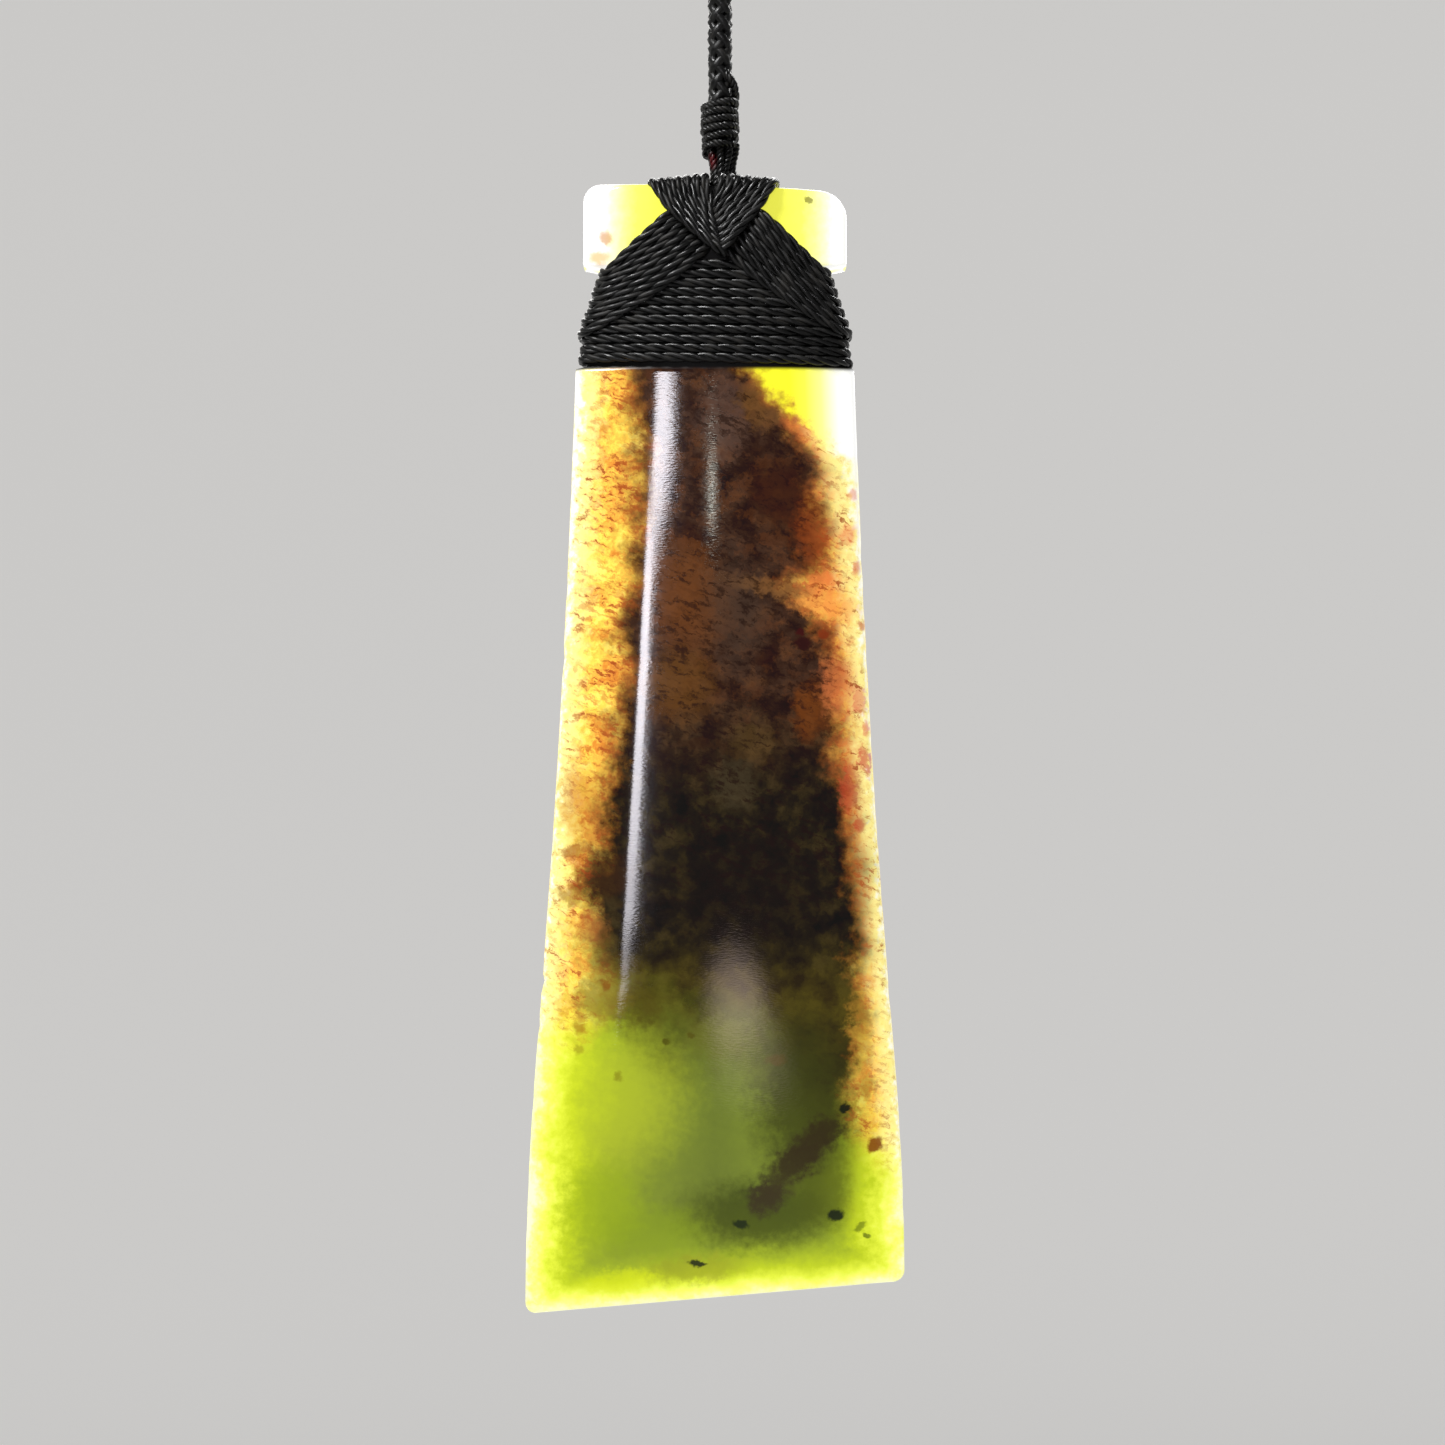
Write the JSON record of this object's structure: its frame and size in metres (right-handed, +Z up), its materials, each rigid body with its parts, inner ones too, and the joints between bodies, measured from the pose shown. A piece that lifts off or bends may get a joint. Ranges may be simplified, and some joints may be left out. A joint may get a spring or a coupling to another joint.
{
  "type": "toki adze pendant necklace",
  "caption": "Adze-shaped greenstone pendant with a grooved neck, lashed with black waxed cord and hung on a braided loop necklace.",
  "frame": {"origin": "where the necklace hangs: on top of the peg that its loop goes over, under the top of the braid", "axes": "+Z up along the hanging cord, polished front faces -Y, +X to the right of someone who looks at the front"},
  "size_m": [0.0302, 0.0156, 0.4144],
  "materials": {
    "greenstone": "polished translucent stone, lime to rust brown",
    "waxed_thread": "waxed twisted thread",
    "waxed_braid": "waxed round braid"
  },
  "bodies": {
    "root": {"toki_blade": "greenstone", "neck_binding": "waxed_thread", "left_shoulder_binding": "waxed_thread", "right_shoulder_binding": "waxed_thread", "top_binding": "waxed_thread", "cord_whipping": "waxed_thread", "necklace_cord": "waxed_braid"}
  },
  "joints": []
}
